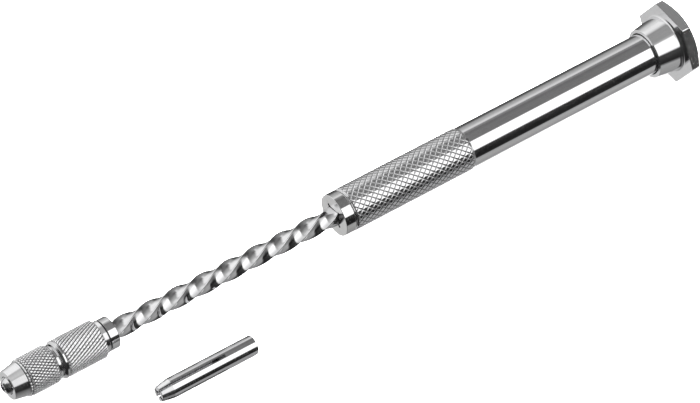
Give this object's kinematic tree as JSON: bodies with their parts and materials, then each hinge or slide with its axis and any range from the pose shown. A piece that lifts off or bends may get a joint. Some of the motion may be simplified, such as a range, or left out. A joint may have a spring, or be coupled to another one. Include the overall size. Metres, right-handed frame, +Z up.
{
  "type": "pin vise",
  "caption": "Slim spiral push drill: a spring-loaded knurled handle slides down a twisted square bar and spins a pin-vise collet chuck. With a hexagon end cap and a loose spare collet.",
  "frame": {"origin": "middle of the whole set's box, on the surface that it lies on", "axes": "+X runs along the tool from the chuck to the hexagon cap, level with the surface (the tool's own axis climbs 1.39 degrees towards the cap); +Z is up; the spare collet lies on the -Y side"},
  "size_m": [0.199, 0.0332, 0.0191],
  "materials": {
    "chrome_plate": "polished",
    "nickel_plate": "polished",
    "polished_steel": "gloss",
    "spring_steel": "gloss",
    "black_steel": "satin",
    "spring_wire": "satin",
    "bearing_steel": "polished",
    "fibre": "matte",
    "brass": "satin"
  },
  "bodies": {
    "handle": {"handle_tube": "chrome_plate", "drive_nut": "nickel_plate", "stop_washer": "fibre", "return_spring": "spring_wire"},
    "carriage": {"spring_follower": "brass", "thrust_ball": "bearing_steel"},
    "spindle": {"spiral_shaft": "polished_steel", "stop_collar": "polished_steel", "stop_pin": "bearing_steel", "chuck_body": "chrome_plate", "chuck_grub_screw": "black_steel"},
    "collet": {"collet": "spring_steel"},
    "chuck_cap": {"chuck_cap": "chrome_plate"},
    "cap_seat": {"spring_seat": "brass"},
    "end_cap": {"end_cap": "chrome_plate"},
    "spare_collet": {"spare_collet": "spring_steel"}
  },
  "joints": [
    {"name": "push_stroke", "type": "slide", "parent": "handle", "child": "carriage", "axis": [0.9997, 0, 0.0243], "range_m": [0, 0.058], "stiffness_N_per_m": 150, "springref_m": -0.015, "deforming": ["return_spring"]},
    {"name": "spindle_turn", "type": "hinge", "parent": "carriage", "child": "spindle", "pos_m": [0.01196, 0.00568, 0.00746], "axis": [0.9997, 0, 0.0243], "range_deg": [-690, 0]},
    {"name": "collet_advance", "type": "slide", "parent": "spindle", "child": "collet", "axis": [-0.9997, 0, -0.0243], "range_m": [0, 0.006]},
    {"name": "chuck_cap_turn", "type": "hinge", "parent": "collet", "child": "chuck_cap", "pos_m": [-0.08951, 0.00568, 0.00499], "axis": [-0.9997, 0, -0.0243], "range_deg": [0, 2880.5]},
    {"name": "end_cap_travel", "type": "slide", "parent": "handle", "child": "cap_seat", "axis": [0.9997, 0, 0.0243], "range_m": [0, 0.004]},
    {"name": "end_cap_turn", "type": "hinge", "parent": "cap_seat", "child": "end_cap", "pos_m": [0.09603, 0.00568, 0.0095], "axis": [0.9997, 0, 0.0243], "range_deg": [0, 1440.5]},
    {"name": "spare_collet_lift", "type": "slide", "parent": "handle", "child": "spare_collet", "axis": [0, 0, 1], "range_m": [0, 0.05]}
  ],
  "couplings": [
    {"joint": "spindle_turn", "follows": "push_stroke", "rad_per_m": -207.37},
    {"joint": "chuck_cap_turn", "follows": "collet_advance", "rad_per_m": 8377.6},
    {"joint": "end_cap_turn", "follows": "end_cap_travel", "rad_per_m": 6283.2}
  ]
}
